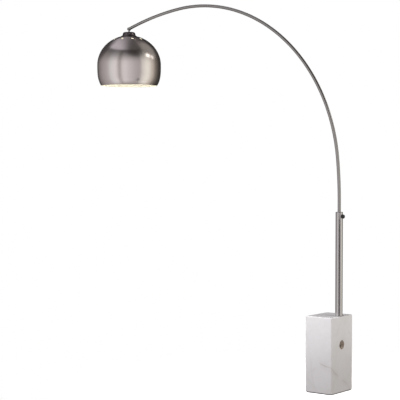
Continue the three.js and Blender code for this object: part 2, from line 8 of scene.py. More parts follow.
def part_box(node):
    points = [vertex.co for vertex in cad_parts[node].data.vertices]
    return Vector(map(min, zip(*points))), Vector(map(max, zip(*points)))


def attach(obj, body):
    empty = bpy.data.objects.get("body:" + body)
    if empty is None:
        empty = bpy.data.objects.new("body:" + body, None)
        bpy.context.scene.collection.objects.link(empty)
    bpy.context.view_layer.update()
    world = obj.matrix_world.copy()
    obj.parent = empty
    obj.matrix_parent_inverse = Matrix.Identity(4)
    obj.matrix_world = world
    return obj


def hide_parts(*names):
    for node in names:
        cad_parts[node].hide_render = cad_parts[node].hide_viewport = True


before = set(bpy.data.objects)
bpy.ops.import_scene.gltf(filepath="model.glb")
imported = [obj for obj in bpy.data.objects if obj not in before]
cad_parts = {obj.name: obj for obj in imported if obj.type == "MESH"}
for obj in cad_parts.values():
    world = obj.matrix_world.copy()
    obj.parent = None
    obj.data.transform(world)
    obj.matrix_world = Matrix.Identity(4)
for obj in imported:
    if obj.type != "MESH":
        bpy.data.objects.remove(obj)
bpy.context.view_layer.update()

bl_info = {
    "name": "Arc floor lamp",
    "version": (1, 0, 0),
    "blender": (4, 5, 0),
    "location": "3D View > Sidebar > Arc lamp",
    "description": "Builds the surfaces, finishes and studio of an arc floor lamp around its packed parts",
    "category": "Object",
}

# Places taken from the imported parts, in metres.
BLOCK_LOW, BLOCK_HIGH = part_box("marble_block")
PAD_LOW, PAD_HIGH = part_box("base_pad")
POST_LOW, POST_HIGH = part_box("post_tube")
BUSH_LOW, BUSH_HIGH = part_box("post_top_bush")
GROMMET_LOW, GROMMET_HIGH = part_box("cord_grommet")
KNOB_LOW, KNOB_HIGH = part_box("clamp_knob")
STEM_LOW, STEM_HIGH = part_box("knuckle_shade_half")
POST_AXIS = Vector(((BUSH_LOW.x + BUSH_HIGH.x) / 2, 0, 0))
PIN = sum(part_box("friction_washer"), Vector()) / 2  # the middle of the knuckle's pin

# The rod's centre line: straight, then bends as (radius, lean from upright where the bend ends).
ROD_TAIL = 0.530
BEND_START = 1.000
ROD_BENDS = (
    (2.362, math.radians(5.7)),
    (0.949, math.radians(97.94)),
    (1.787, math.radians(109.99)),
)
SECTION_ANGLES = (math.radians(45), math.radians(85))
FIT_GAP = 0.0003  # between pieces that touch
ROD_END_GAP = 0.0113  # from the knuckle's pin to the end of the rod's tube
SCREW_OFFSET = 0.014  # from a section joint to its locking screw
SCREW_HOLE = 0.0023  # radius of the holes for the section screws and the knuckle's pin
WALL_HOLE = 0.0053  # radius of the post's two side holes
STEM_RADIUS = 0.0049  # the hollow stem that carries the head
STEM_HOLE = 0.0053  # what it passes through in the cap and the dome

# Heights from the knuckle's pin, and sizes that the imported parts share.
VENT_START = math.radians(-2.3)
CAP_TOP = -0.0183
CAP_SHOULDER = 0.012
CAP_WALL = 0.0015
CAP_HOLE_HEIGHT = -0.0285
HOLDER_TOP = -0.053
HOLDER_BOTTOM = -0.112
HOLDER_RADIUS = 0.021
BULB_BASE_RADIUS = 0.0132
BULB_BASE_TOP = -0.081
BULB_CENTRE = -0.172
BULB_NECK = 0.0136
BULB_SPAN = math.radians(52)  # how far above its middle the globe stays round

UP = Vector((0, 0, 1))
QUARTER = math.pi / 2
TURN_TO_X = Matrix.Rotation(QUARTER, 4, "Y")
TURN_TO_Y = Matrix.Rotation(-QUARTER, 4, "X")


def length(name, default, description):
    return bpy.props.FloatProperty(
        name=name, description=description, default=default, min=0, precision=5, unit="LENGTH")


def count(name, default, description):
    return bpy.props.IntProperty(name=name, description=description, default=default, min=3)


def tint(name, default, description):
    return bpy.props.FloatVectorProperty(
        name=name, description=description, default=default, min=0, max=1, size=3, subtype="COLOR")


class LampSizes(bpy.types.PropertyGroup):
    """Sizes of the lamp's visible surfaces."""

    block_rounding: length("Block rounding", 0.005, "Radius of the stone block's edges")
    hole_radius: length("Lifting hole", 0.023, "Radius of the hole through the block")
    hole_height: length("Hole height", 0.2525, "Height of the hole's axis above the floor")
    hole_chamfer: length("Hole chamfer", 0.002, "Bevel around the hole's mouths")
    post_radius: length("Post radius", 0.019, "Outer radius of the post")
    post_wall: length("Post wall", 0.0016, "Thickness of the post's wall")
    rod_radius: length("Rod radius", 0.0085, "Outer radius of the curved rod")
    rod_wall: length("Rod wall", 0.0012, "Thickness of the rod's wall")
    shade_radius: length("Shade radius", 0.1875, "Outer radius of the dome")
    shade_crown: length("Shade crown", 0.175, "From the widest ring up to the top of the dome")
    shade_drop: length("Shade centre", 0.213, "From the knuckle's pin down to the dome's widest ring")
    shade_skirt: length("Shade skirt", 0.121, "From the widest ring down to the rim")
    skirt_stretch: length("Skirt stretch", 0.192, "Depth at which the skirt would close")
    skirt_power: bpy.props.FloatProperty(
        name="Skirt power", description="How late the skirt curves in", default=3.2, min=2)
    shade_wall: length("Shade wall", 0.0008, "Thickness of the spun metal")
    vent_ring: length("Vent ring", 0.095, "Radius of the ring of vents around the crown")
    vent_radius: length("Vent radius", 0.0075, "Radius of one vent")
    cap_radius: length("Cap radius", 0.037, "Outer radius of the vented cap's side")
    cap_hole: length("Cap hole", 0.0035, "Radius of a hole in the cap's side")
    knob_radius: length("Knob radius", 0.011, "Outer radius of the clamp knob")
    bulb_radius: length("Bulb radius", 0.030, "Radius of the bulb's globe")
    vent_count: count("Vents", 10, "Number of vents around the crown")
    cap_hole_count: count("Cap holes", 12, "Number of holes around the cap")
    knob_groove_count: count("Knob grooves", 8, "Number of finger grooves around the knob")


class LampColours(bpy.types.PropertyGroup):
    """Colours of the lamp's finishes."""

    marble: tint("Marble", (0.75, 0.75, 0.765), "Ground colour of the stone")
    vein: tint("Marble vein", (0.36, 0.32, 0.28), "Colour of the stone's veins")
    steel: tint("Post steel", (0.62, 0.605, 0.60), "Brushed post")
    # Painted shade: the rod's steel is darker than the post's, standing in for the darker reflections the
    # studio does not give it.
    rod: tint("Rod steel", (0.44, 0.43, 0.42), "Polished rod")
    shade: tint("Shade", (0.80, 0.75, 0.735), "Spun metal outside")
    enamel: tint("Enamel", (0.90, 0.885, 0.81), "Inside of the shade")
    cap: tint("Cap", (0.21, 0.185, 0.195), "Dark plated vent cap")
    plastic: tint("Black plastic", (0.014, 0.014, 0.015), "Knob and lamp holder")
    light: tint("Lamp light", (1.0, 0.955, 0.85), "Colour of the lit bulb")
    floor: tint("Floor", (0.90, 0.90, 0.90), "Studio floor")


# ---- node trees ----
class Wire:
    """A number socket. Arithmetic on it adds Math nodes."""

    def __init__(self, tree, socket):
        self.tree = tree
        self.socket = socket

    def math(self, operation, *values):
        settings = {"operation": operation}
        return self.tree.node("ShaderNodeMath", settings, dict(enumerate(values)))

    def __add__(self, other):
        return self.math("ADD", self, other)

    def __sub__(self, other):
        return self.math("SUBTRACT", self, other)

    def __rsub__(self, other):
        return self.math("SUBTRACT", other, self)

    def __mul__(self, other):
        return self.math("MULTIPLY", self, other)

    def __truediv__(self, other):
        return self.math("DIVIDE", self, other)

    def __abs__(self):
        return self.math("ABSOLUTE", self)

    __radd__ = __add__
    __rmul__ = __mul__

    def larger(self, other):
        return self.math("MAXIMUM", self, other)

    def angle_over(self, other):
        return self.math("ARCTAN2", self, other)

    def root(self):
        return self.math("SQRT", self)

    def rise(self, low, high, start=0.0, end=1.0):
        """Goes smoothly from start to end as the number goes from low to high."""
        values = {"Value": self, "From Min": low, "From Max": high, "To Min": start, "To Max": end}
        return self.tree.node("ShaderNodeMapRange", {"interpolation_type": "SMOOTHSTEP"}, values)


class Nodes:
    """Adds nodes to a shader or geometry tree."""

    def __init__(self, tree):
        self.tree = tree

    def node(self, kind, settings=None, values=None, output=0):
        node = self.tree.nodes.new(kind)
        for key, value in (settings or {}).items():
            if key == "stops":
                self.set_stops(node.color_ramp, value)
            else:
                setattr(node, key, value)
        for key, value in (values or {}).items():
            self.feed(node.inputs[key], value)
        return Wire(self, node.outputs[output]) if node.outputs else node

    def feed(self, socket, value):
        if isinstance(value, Wire):
            self.tree.links.new(value.socket, socket)
        elif socket.type == "RGBA" and len(value) == 3:
            socket.default_value = (*value, 1)
        else:
            socket.default_value = value

    def set_stops(self, ramp, stops):
        ramp.interpolation = "EASE"
        while len(ramp.elements) < len(stops):
            ramp.elements.new(1)
        for element, (position, colour) in zip(ramp.elements, stops):
            element.position = position
            element.color = (*colour, 1)

    def place(self):
        """Object coordinates."""
        return self.node("ShaderNodeTexCoord", output=3)

    def split(self, vector):
        parts = self.tree.nodes.new("ShaderNodeSeparateXYZ")
        self.feed(parts.inputs[0], vector)
        return [Wire(self, socket) for socket in parts.outputs]

    def joined(self, x, y, z):
        return self.node("ShaderNodeCombineXYZ", values={0: x, 1: y, 2: z})

    def shifted(self, vector, offset=(0, 0, 0), turn=(0, 0, 0), scale=(1, 1, 1)):
        return self.node("ShaderNodeMapping", values={
            "Vector": vector, "Location": offset, "Rotation": turn, "Scale": scale})

    def dot(self, vector, direction):
        return self.node("ShaderNodeVectorMath", {"operation": "DOT_PRODUCT"}, {0: vector, 1: direction}, 1)

    def noise(self, vector, scale, detail=3.0, roughness=0.5, distortion=0.0):
        return self.node("ShaderNodeTexNoise", values={
            "Vector": vector, "Scale": scale, "Detail": detail,
            "Roughness": roughness, "Distortion": distortion})

    def mix(self, factor, first, second, blend="MIX"):
        settings = {"data_type": "RGBA", "blend_type": blend}
        return self.node("ShaderNodeMix", settings, {0: factor, 6: first, 7: second}, 2)

    def bump(self, height, strength, distance):
        return self.node("ShaderNodeBump", values={
            "Height": height, "Strength": strength, "Distance": distance})


def dim(colour, amount):
    return [c * amount for c in colour]


def new_finish(name):
    material = bpy.data.materials.new(name)
    material.use_nodes = True
    material.node_tree.nodes.clear()
    return material, Nodes(material.node_tree)


def end_finish(nodes, values):
    surface = nodes.node("ShaderNodeBsdfPrincipled", values=values)
    nodes.node("ShaderNodeOutputMaterial", values={"Surface": surface})


# ---- finishes ----
def marble_finish(colours, sizes):
    """Polished white stone with soft clouds and a few thin veins, with painted shade low on the block and
    inside its lifting hole.
    """
    material, nodes = new_finish("Polished marble")
    place = nodes.place()
    clouds = nodes.noise(place, 5.0, 4.0, 0.55, 0.6)
    cool = nodes.noise(nodes.shifted(place, (3, 1, 7)), 9.0, 3.0, 0.6, 0.3)
    wander = nodes.noise(nodes.shifted(place, (5, 2, 1)), 7.0, 5.0, 0.6) - 0.5
    fine = nodes.noise(nodes.shifted(place, (2, 8, 4)), 55.0, 4.0, 0.65)
    ground = nodes.mix(clouds.rise(0.40, 0.72), colours.marble, (0.68, 0.675, 0.665))
    ground = nodes.mix(cool.rise(0.45, 0.75, 0, 0.55), ground, (0.72, 0.71, 0.74))
    sheets = (
        ((0.218, 0.565, 0.825), 0.0734, 0.0034, 0.85),
        ((0.95, 0.10, 0.155), -0.0300, 0.0016, 0.38),
        ((-0.25, 0.70, 0.66), 0.2350, 0.0012, 0.30),
        ((0.60, -0.55, 0.58), 0.0600, 0.0014, 0.30),
        ((0.30, 0.85, -0.43), -0.1500, 0.0012, 0.28),
    )
    for direction, distance, width, strength in sheets:
        away = abs(nodes.dot(place, direction) - distance + wander * 0.045)
        broken = nodes.noise(nodes.shifted(place, direction), 12.0, 3.0).rise(0.36, 0.62)
        line = away.rise(0, width, 1, 0) * broken * strength
        halo = away.rise(0, width * 9, 1, 0) * broken * (strength * 0.22)
        ground = nodes.mix(line.larger(halo), ground, colours.vein)
    shadow = fine.rise(0.35, 0.75, 0, 0.10)
    ground = nodes.mix(shadow, ground, (0.55, 0.54, 0.53))
    _, y, z = nodes.split(place)
    # Painted shade: the stone is darkened towards the floor, by up to 30 % at the bottom.
    ground = nodes.mix(z.rise(0.02, 0.33, 0.30, 0), ground, (0.52, 0.505, 0.50))
    # Painted shade in the lifting hole: its inside is darker and browner than the stone around it.
    off_axis = (y * y + (z - sizes.hole_height) * (z - sizes.hole_height)).root()
    bore_shade = off_axis.rise(sizes.hole_radius + 0.0004, sizes.hole_radius + 0.0014, 1, 0)
    ground = nodes.mix(bore_shade, ground, (0.60, 0.53, 0.46))
    end_finish(nodes, {
        "Base Color": ground,
        "Roughness": fine.rise(0.2, 0.8, 0.15, 0.26),
        "Normal": nodes.bump(fine, 0.04, 0.0004),
        "IOR": 1.52,
    })
    return material


def length_brushed_finish(name, colour, roughness, stretch):
    """Metal with fine marks along one direction."""
    material, nodes = new_finish(name)
    place = nodes.place()
    marks = nodes.noise(nodes.shifted(place, scale=stretch), 1.0, 1.5, 0.5)
    soil = nodes.noise(place, 14.0, 3.0, 0.55)
    tone = nodes.mix(marks.rise(0.3, 0.7, 0, 0.30), colour, dim(colour, 0.82))
    tone = nodes.mix(soil.rise(0.45, 0.8, 0, 0.10), tone, dim(colour, 0.88))
    end_finish(nodes, {
        "Base Color": tone,
        "Metallic": 1.0,
        "Roughness": marks.rise(0.2, 0.8, roughness - 0.03, roughness + 0.05),
        "Normal": nodes.bump(marks, 0.012, 0.0002),
    })
    return material


def spun_finish(name, colour, roughness, centre, shine):
    """Metal turned on a lathe, with fine marks around the upright axis through centre."""
    material, nodes = new_finish(name)
    x, y, z = nodes.split(nodes.shifted(nodes.place(), [-c for c in centre]))
    radius = (x * x + y * y).root()
    climb = z.angle_over(radius)
    marks = nodes.noise(nodes.joined(x * 6, y * 6, climb * 260), 1.0, 3.0, 0.65)
    bands = nodes.noise(nodes.joined(x * 2, y * 2, climb * 22), 1.0, 3.0, 0.5)
    soil = nodes.noise(nodes.joined(x, y, z), 10.0, 4.0, 0.6)
    tone = nodes.mix(marks.rise(0.3, 0.7, 0, 0.28), colour, dim(colour, 0.84))
    tone = nodes.mix(bands.rise(0.4, 0.7, 0, 0.25), tone, dim(colour, 0.90))
    tone = nodes.mix(soil.rise(0.45, 0.8, 0, 0.18), tone, dim(colour, 0.85))
    end_finish(nodes, {
        "Base Color": tone,
        "Metallic": 1.0,
        "Roughness": marks.rise(0.2, 0.8, roughness - 0.03, roughness + 0.05),
        "Anisotropic": shine,
        "Normal": nodes.bump(marks, 0.04, 0.0002),
    })
    return material


def enamel_finish(colours):
    """Sprayed enamel with a faint orange-peel surface."""
    material, nodes = new_finish("Cream enamel")
    place = nodes.place()
    peel = nodes.noise(place, 420.0, 2.0, 0.5)
    shade = nodes.noise(place, 12.0, 3.0, 0.5)
    tone = nodes.mix(shade.rise(0.4, 0.75, 0, 0.25), colours.enamel, dim(colours.enamel, 0.93))
    end_finish(nodes, {
        "Base Color": tone,
        "Roughness": peel.rise(0.2, 0.8, 0.30, 0.42),
        "Normal": nodes.bump(peel, 0.10, 0.0003),
        "Coat Weight": 0.15,
    })
    return material


def plastic_finish(name, colour, roughness, grain):
    """Moulded plastic or rubber with a fine grain and dusty high spots."""
    material, nodes = new_finish(name)
    place = nodes.place()
    skin = nodes.noise(place, grain, 3.0, 0.6)
    dust = nodes.noise(place, 60.0, 3.0, 0.6)
    tone = nodes.mix(dust.rise(0.45, 0.8, 0, 0.35), colour, [min(1, c * 1.6 + 0.012) for c in colour])
    end_finish(nodes, {
        "Base Color": tone,
        "Roughness": skin.rise(0.2, 0.8, roughness - 0.06, roughness + 0.08),
        "Normal": nodes.bump(skin, 0.12, 0.0002),
    })
    return material


def bulb_finish(colours):
    """Lit frosted glass: brightest at the globe, dimmer at the neck."""
    material, nodes = new_finish("Lit frosted bulb")
    place = nodes.place()
    frost = nodes.noise(place, 300.0, 2.0, 0.5)
    height = nodes.split(place)[2]
    top = PIN.z - 0.115
    glow = nodes.mix(height.rise(top - 0.030, top, 0, 0.75), colours.light, (0.55, 0.40, 0.24))
    end_finish(nodes, {
        "Base Color": nodes.mix(frost, (0.92, 0.90, 0.86), (0.86, 0.84, 0.80)),
        "Roughness": frost.rise(0.2, 0.8, 0.32, 0.45),
        "Emission Color": glow,
        "Emission Strength": 13.0,
    })
    return material


def floor_finish(colours):
    """Pale floor that fades out into the backdrop away from the lamp."""
    material, nodes = new_finish("Pale floor")
    x, y, _ = nodes.split(nodes.place())
    away = (x * x + y * y).root()
    grain = nodes.noise(nodes.joined(x, y, 0.0), 40.0, 3.0)
    tone = nodes.mix(grain.rise(0.4, 0.7, 0, 0.10), colours.floor, dim(colours.floor, 0.98))
    surface = nodes.node("ShaderNodeBsdfPrincipled", values={
        "Base Color": tone, "Roughness": 0.9, "Specular IOR Level": 0.0,
        "Emission Color": (1, 1, 1), "Emission Strength": FLOOR_GLOW})
    clear = nodes.node("ShaderNodeBsdfTransparent")
    fading = nodes.node("ShaderNodeMixShader", values={
        0: away.rise(FLOOR_FADE_START, FLOOR_FADE_END), 1: surface, 2: clear})
    nodes.node("ShaderNodeOutputMaterial", values={"Surface": fading})
    return material


# ---- mesh making ----
def new_object(name, data):
    obj = bpy.data.objects.new(name, data)
    bpy.context.scene.collection.objects.link(obj)
    return obj


def mesh_object(name, points, faces, edges=()):
    mesh = bpy.data.meshes.new(name)
    mesh.from_pydata(points, edges, faces)
    return new_object(name, mesh)


def face_outwards(mesh, weld=1e-7):
    """Welds points closer than weld and turns every face outwards."""
    work = bmesh.new()
    work.from_mesh(mesh)
    bmesh.ops.remove_doubles(work, verts=work.verts, dist=weld)
    bmesh.ops.recalc_face_normals(work, faces=work.faces)
    work.to_mesh(mesh)
    work.free()


def softened(profile, radius, steps=4, closed=True):
    """Rounds the corners of a profile of (radius, height) pairs."""
    points = [Vector(p) for p in profile]
    total = len(points)
    out = []
    for i, corner in enumerate(points):
        if not closed and i in (0, total - 1):
            out.append(corner)
            continue
        before, after = points[i - 1] - corner, points[(i + 1) % total] - corner
        straight = before.normalized().dot(after.normalized()) < -0.985
        reach = min(radius, before.length * 0.45, after.length * 0.45)
        if straight or corner.x < 1e-9:
            out.append(corner)
            continue
        start, end = corner + before.normalized() * reach, corner + after.normalized() * reach
        for step in range(steps + 1):
            t = step / steps
            out.append(start * (1 - t) ** 2 + corner * (2 * t * (1 - t)) + end * t ** 2)
    return out


def lathe(name, profile, segments=96, closed=True):
    """Turns a profile of (radius, height) pairs about +Z. An open profile starts and ends on the axis."""
    points, rings, faces = [], [], []
    for radius, height in profile:
        around = 1 if radius < 1e-9 else segments
        rings.append([len(points) + i for i in range(around)])
        for i in range(around):
            angle = 2 * math.pi * i / segments
            points.append((radius * math.cos(angle), radius * math.sin(angle), height))
    pairs = list(zip(rings, rings[1:] + rings[:1] if closed else rings[1:]))
    for low, high in pairs:
        for i in range(segments):
            j = (i + 1) % segments
            corners = [low[i % len(low)], low[j % len(low)], high[j % len(high)], high[i % len(high)]]
            faces.append(list(dict.fromkeys(corners)))
    obj = mesh_object(name, points, [f for f in faces if len(f) > 2])
    face_outwards(obj.data)
    return obj


def rounded_box(name, low, high, rounding):
    work = bmesh.new()
    bmesh.ops.create_cube(work, size=1)
    size = high - low
    middle = (low + high) / 2
    place = Matrix.Translation(middle) @ Matrix.Diagonal((*size, 1))
    bmesh.ops.transform(work, matrix=place, verts=work.verts)
    bmesh.ops.bevel(work, geom=work.edges[:], offset=rounding, segments=6, profile=0.5, affect="EDGES")
    mesh = bpy.data.meshes.new(name)
    work.to_mesh(mesh)
    work.free()
    return new_object(name, mesh)


def tube_profile(inner, outer, bottom, top):
    return [(inner, bottom), (outer, bottom), (outer, top), (inner, top)]


def move(obj, offset=(0, 0, 0), turn=None):
    if turn is not None:
        obj.data.transform(turn)
    obj.data.transform(Matrix.Translation(offset))
    return obj


def settle(obj):
    """Turns what the modifiers make into the object's own plain mesh."""
    bpy.context.view_layer.update()
    graph = bpy.context.evaluated_depsgraph_get()
    mesh = bpy.data.meshes.new_from_object(obj.evaluated_get(graph))
    obj.modifiers.clear()
    obj.data = mesh
    return obj


def combine(obj, tools, operation="DIFFERENCE"):
    for tool in tools:
        modifier = obj.modifiers.new("Combine", "BOOLEAN")
        modifier.operation = operation
        modifier.solver = "EXACT"
        modifier.object = tool
    settle(obj)
    for tool in tools:
        bpy.data.objects.remove(tool)
    return obj


def punch(radius, start, end, turn=None, offset=(0, 0, 0), segments=64):
    """A round bar used to cut a hole."""
    bar = lathe("punch", [(0, start), (radius, start), (radius, end), (0, end)], segments, closed=False)
    return move(bar, offset, turn)


def smooth(obj, ideal=None, limit=32.0):
    """Shades smoothly between faces that meet at less than limit degrees.
    ideal gives the surface's exact direction at a point, where the surface follows a rule."""
    mesh = obj.data
    mesh.shade_smooth()
    mesh.set_sharp_from_angle(angle=math.radians(limit))
    if ideal is None:
        return obj
    near = math.cos(math.radians(limit))
    normals = [corner.vector.copy() for corner in mesh.corner_normals]
    for polygon in mesh.polygons:
        for loop in polygon.loop_indices:
            wanted = ideal(mesh.vertices[mesh.loops[loop].vertex_index].co)
            facing = polygon.normal.dot(wanted)
            if abs(facing) > near:
                normals[loop] = wanted if facing > 0 else -wanted
    mesh.normals_split_custom_set(normals)
    return obj


def wear(obj, *materials):
    obj.data.materials.clear()
    for material in materials:
        obj.data.materials.append(material)
    return obj


def finish_piece(obj, name, body, slot, node, *materials):
    """Names a piece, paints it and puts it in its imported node's place."""
    if materials:
        wear(obj, *materials)
    obj.name = name
    obj.data.name = name
    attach(obj, body)
    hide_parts(node)


def finish_smooth(obj, *names_and_material, limit=32.0):
    finish_piece(smooth(obj, limit=limit), *names_and_material)


# ---- geometry nodes ----
def new_tree(name, inputs):
    tree = bpy.data.node_groups.new(name, "GeometryNodeTree")
    for label, kind in {"Geometry": "Geometry", **inputs, "Material": "Material"}.items():
        tree.interface.new_socket(label, in_out="INPUT", socket_type="NodeSocket" + kind)
    tree.interface.new_socket("Geometry", in_out="OUTPUT", socket_type="NodeSocketGeometry")
    nodes = Nodes(tree)
    entry = tree.nodes.new("NodeGroupInput")
    taps = {socket.name: Wire(nodes, socket) for socket in entry.outputs if socket.name}
    return tree, nodes, taps


def end_tree(nodes, taps, geometry):
    real = nodes.node("GeometryNodeRealizeInstances", values={"Geometry": geometry})
    painted = nodes.node("GeometryNodeSetMaterial", values={"Geometry": real, "Material": taps["Material"]})
    nodes.node("NodeGroupOutput", values={0: painted})


def punched_ring_tree():
    """Cuts a ring of round holes. Each punch leans outwards from +Z by Lean."""
    tree, nodes, taps = new_tree("Punched ring", {
        "Count": "Int", "Ring Radius": "Float", "Height": "Float", "First Angle": "Float",
        "Lean": "Float", "Hole Radius": "Float", "Depth": "Float"})
    circle = nodes.node("GeometryNodeMeshCircle", values={
        "Vertices": taps["Count"], "Radius": taps["Ring Radius"]})
    ring = nodes.node("GeometryNodeTransform", values={
        "Geometry": circle, "Translation": nodes.joined(0.0, 0.0, taps["Height"]),
        "Rotation": nodes.joined(0.0, 0.0, taps["First Angle"])})
    x, y, _ = nodes.split(nodes.node("GeometryNodeInputPosition"))
    bar = nodes.node("GeometryNodeMeshCylinder", values={
        "Vertices": 40, "Radius": taps["Hole Radius"], "Depth": taps["Depth"]})
    bars = nodes.node("GeometryNodeInstanceOnPoints", values={
        "Points": ring, "Instance": bar, "Rotation": nodes.joined(0.0, taps["Lean"], y.angle_over(x))})
    tools = nodes.node("GeometryNodeRealizeInstances", values={"Geometry": bars})
    cut = nodes.node("GeometryNodeMeshBoolean", {"operation": "DIFFERENCE", "solver": "EXACT"},
                     {"Mesh 1": taps["Geometry"], "Mesh 2": tools})
    end_tree(nodes, taps, cut)
    return tree


def swept_tube_tree():
    """Sweeps a round outline along a line of points."""
    tree, nodes, taps = new_tree("Swept tube", {"Radius": "Float", "Sides": "Int"})
    line = nodes.node("GeometryNodeMeshToCurve", values={"Mesh": taps["Geometry"]})
    outline = nodes.node("GeometryNodeCurvePrimitiveCircle", values={
        "Resolution": taps["Sides"], "Radius": taps["Radius"]})
    skin = nodes.node("GeometryNodeCurveToMesh", values={"Curve": line, "Profile Curve": outline})
    end_tree(nodes, taps, skin)
    return tree


def run_tree(obj, tree, values):
    """Runs a geometry tree on a piece with these named inputs and keeps the result as a plain mesh."""
    modifier = obj.modifiers.new(tree.name, "NODES")
    modifier.node_group = tree
    for item in tree.interface.items_tree:
        if item.in_out == "INPUT" and item.name in values:
            modifier[item.identifier] = values[item.name]
    return settle(obj)


def shared(name, make):
    """The node group of that name, made the first time it is asked for."""
    return bpy.data.node_groups.get(name) or make()


# ---- the rod's centre line ----
STRAIGHT_LENGTH = BEND_START - ROD_TAIL


def rod_length_at(angle):
    """Length from the rod's tail to where it leans by an angle from upright."""
    length, before = STRAIGHT_LENGTH, 0
    for radius, end in ROD_BENDS:
        length += radius * max(min(angle, end) - before, 0)
        before = end
    return length


def rod_place(length):
    """(x, z, angle from upright) of the centre line at a length from the rod's tail."""
    x, z, angle = POST_AXIS.x, min(ROD_TAIL + length, BEND_START), 0
    left = max(length - STRAIGHT_LENGTH, 0)
    for radius, end in ROD_BENDS:
        after = min(angle + left / radius, end)
        left = max(left - radius * (after - angle), 0)
        x -= radius * (math.cos(angle) - math.cos(after))
        z += radius * (math.sin(after) - math.sin(angle))
        angle = after
    return x, z, angle


ROD_END = rod_length_at(math.pi)


def rod_section(name, start, end, sizes, screw_at, material):
    steps = math.ceil((end - start) / 0.010)
    places = [rod_place(start + (end - start) * i / steps) for i in range(steps + 1)]
    line = mesh_object(name, [(x, 0, z) for x, z, _ in places], [], [(i, i + 1) for i in range(steps)])
    run_tree(line, shared("Swept tube", swept_tube_tree), {
        "Radius": sizes.rod_radius, "Sides": 40, "Material": material})
    face_outwards(line.data)
    wall = line.modifiers.new("Wall", "SOLIDIFY")
    wall.thickness = sizes.rod_wall
    wall.offset = -1
    settle(line)
    if screw_at is not None:
        x, z, angle = rod_place(screw_at)
        inward = Vector((-math.cos(angle), 0, -math.sin(angle)))
        turn = UP.rotation_difference(inward).to_matrix().to_4x4()
        low, high = sizes.rod_radius - 0.003, sizes.rod_radius + 0.003
        combine(line, [punch(SCREW_HOLE, low, high, turn, (x, 0, z), 24)])
    return smooth(line)


# ---- operators ----
class LampOperator:
    bl_options = {"REGISTER"}

    def execute(self, context):
        self.build(context.scene.arc_lamp_sizes, context.scene.arc_lamp_colours)
        return {"FINISHED"}


class ARCLAMP_OT_block(LampOperator, bpy.types.Operator):
    """Build the marble block and its rubber pad"""

    bl_idname = "arc_lamp.block"
    bl_label = "Block"

    def build(self, sizes, colours):
        marble = marble_finish(colours, sizes)
        finish_piece(self.block(sizes), "block", "base", "marble", "marble_block", marble)
        pad = rounded_box("pad", PAD_LOW, PAD_HIGH, 0.0007)
        rubber = plastic_finish("Pad rubber", (0.022, 0.022, 0.022), 0.75, 500.0)
        finish_smooth(pad, "floor_pad", "base", "black_rubber", "base_pad", rubber)

    def block(self, sizes):
        block = rounded_box("block", BLOCK_LOW, BLOCK_HIGH, sizes.block_rounding)
        face = BLOCK_HIGH.x
        radius, chamfer, over = sizes.hole_radius, sizes.hole_chamfer, 0.001
        wide = radius + chamfer + over
        outline = [(0, -face - over), (wide, -face - over), (radius, -face + chamfer),
                   (radius, face - chamfer), (wide, face + over), (0, face + over)]
        hole = lathe("hole", softened(outline, 0.0008, 3, closed=False), 96, closed=False)
        move(hole, (0, 0, sizes.hole_height), TURN_TO_X)
        insert_low, insert_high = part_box("anchor_insert")
        socket_radius = (insert_high.x - insert_low.x) / 2 + FIT_GAP
        socket = punch(socket_radius, insert_low.z - FIT_GAP, BLOCK_HIGH.z + over, None, POST_AXIS)
        combine(block, [hole, socket])
        low = BLOCK_LOW + Vector((1, 1, 1)) * sizes.block_rounding
        high = BLOCK_HIGH - Vector((1, 1, 1)) * sizes.block_rounding

        def ideal(point):
            inside = Vector([min(max(p, a), b) for p, a, b in zip(point, low, high)])
            return (point - inside).normalized()

        return smooth(block, ideal)


class ARCLAMP_OT_post(LampOperator, bpy.types.Operator):
    """Build the post, its top bush and the lead's grommet"""

    bl_idname = "arc_lamp.post"
    bl_label = "Post"

    def build(self, sizes, colours):
        steel = length_brushed_finish("Post steel", colours.steel, 0.17, (700, 700, 5))
        outer, inner = sizes.post_radius, sizes.post_radius - sizes.post_wall
        outline = tube_profile(inner, outer, POST_LOW.z, POST_HIGH.z)
        tube = move(lathe("post", softened(outline, 0.0004, 3), 128), POST_AXIS)
        clamp_z = (KNOB_LOW.z + KNOB_HIGH.z) / 2
        lead_z = (GROMMET_LOW.z + GROMMET_HIGH.z) / 2
        combine(tube, [
            punch(WALL_HOLE, inner - 0.005, outer + 0.005, turn, POST_AXIS + UP * z, 48)
            for turn, z in ((TURN_TO_X, clamp_z), (TURN_TO_Y, lead_z))])

        def ideal(point):
            return Vector((point.x - POST_AXIS.x, point.y, 0)).normalized()

        finish_piece(smooth(tube, ideal), "post", "base", "post_steel", "post_tube", steel)
        self.bush(sizes, steel, clamp_z)
        self.grommet(lead_z)

    def bush(self, sizes, steel, clamp_z):
        bore = sizes.rod_radius + 0.0004
        sleeve = sizes.post_radius - sizes.post_wall - FIT_GAP
        flange, chamfer = BUSH_HIGH.z - 0.003, 0.0012
        outline = [(bore, BUSH_LOW.z), (sleeve, BUSH_LOW.z), (sleeve, flange), (sizes.post_radius, flange),
                   (sizes.post_radius, BUSH_HIGH.z - chamfer), (sizes.post_radius - chamfer, BUSH_HIGH.z),
                   (bore + 0.0008, BUSH_HIGH.z), (bore, BUSH_HIGH.z - 0.0008)]
        bush = move(lathe("bush", softened(outline, 0.0004, 3), 128), POST_AXIS)
        combine(bush, [punch(0.0056, 0.003, 0.022, TURN_TO_X, POST_AXIS + UP * clamp_z, 48)])
        finish_smooth(bush, "post_collar", "base", "post_steel", "post_top_bush", steel)

    def grommet(self, lead_z):
        bore, neck, inside, face = 0.0035, 0.005, 0.0154, 0.0193
        outline = [(bore, inside), (neck, inside), (neck, face), (neck + 0.0025, face),
                   (neck + 0.002, face + 0.0016), (bore + 0.0006, face + 0.0022), (bore, face + 0.0016)]
        ring = lathe("grommet", softened(outline, 0.0006, 4), 64)
        move(ring, POST_AXIS + UP * lead_z, TURN_TO_Y)
        rubber = plastic_finish("Grommet rubber", (0.02, 0.02, 0.02), 0.7, 900.0)
        finish_smooth(ring, "lead_grommet", "base", "black_rubber", "cord_grommet", rubber)


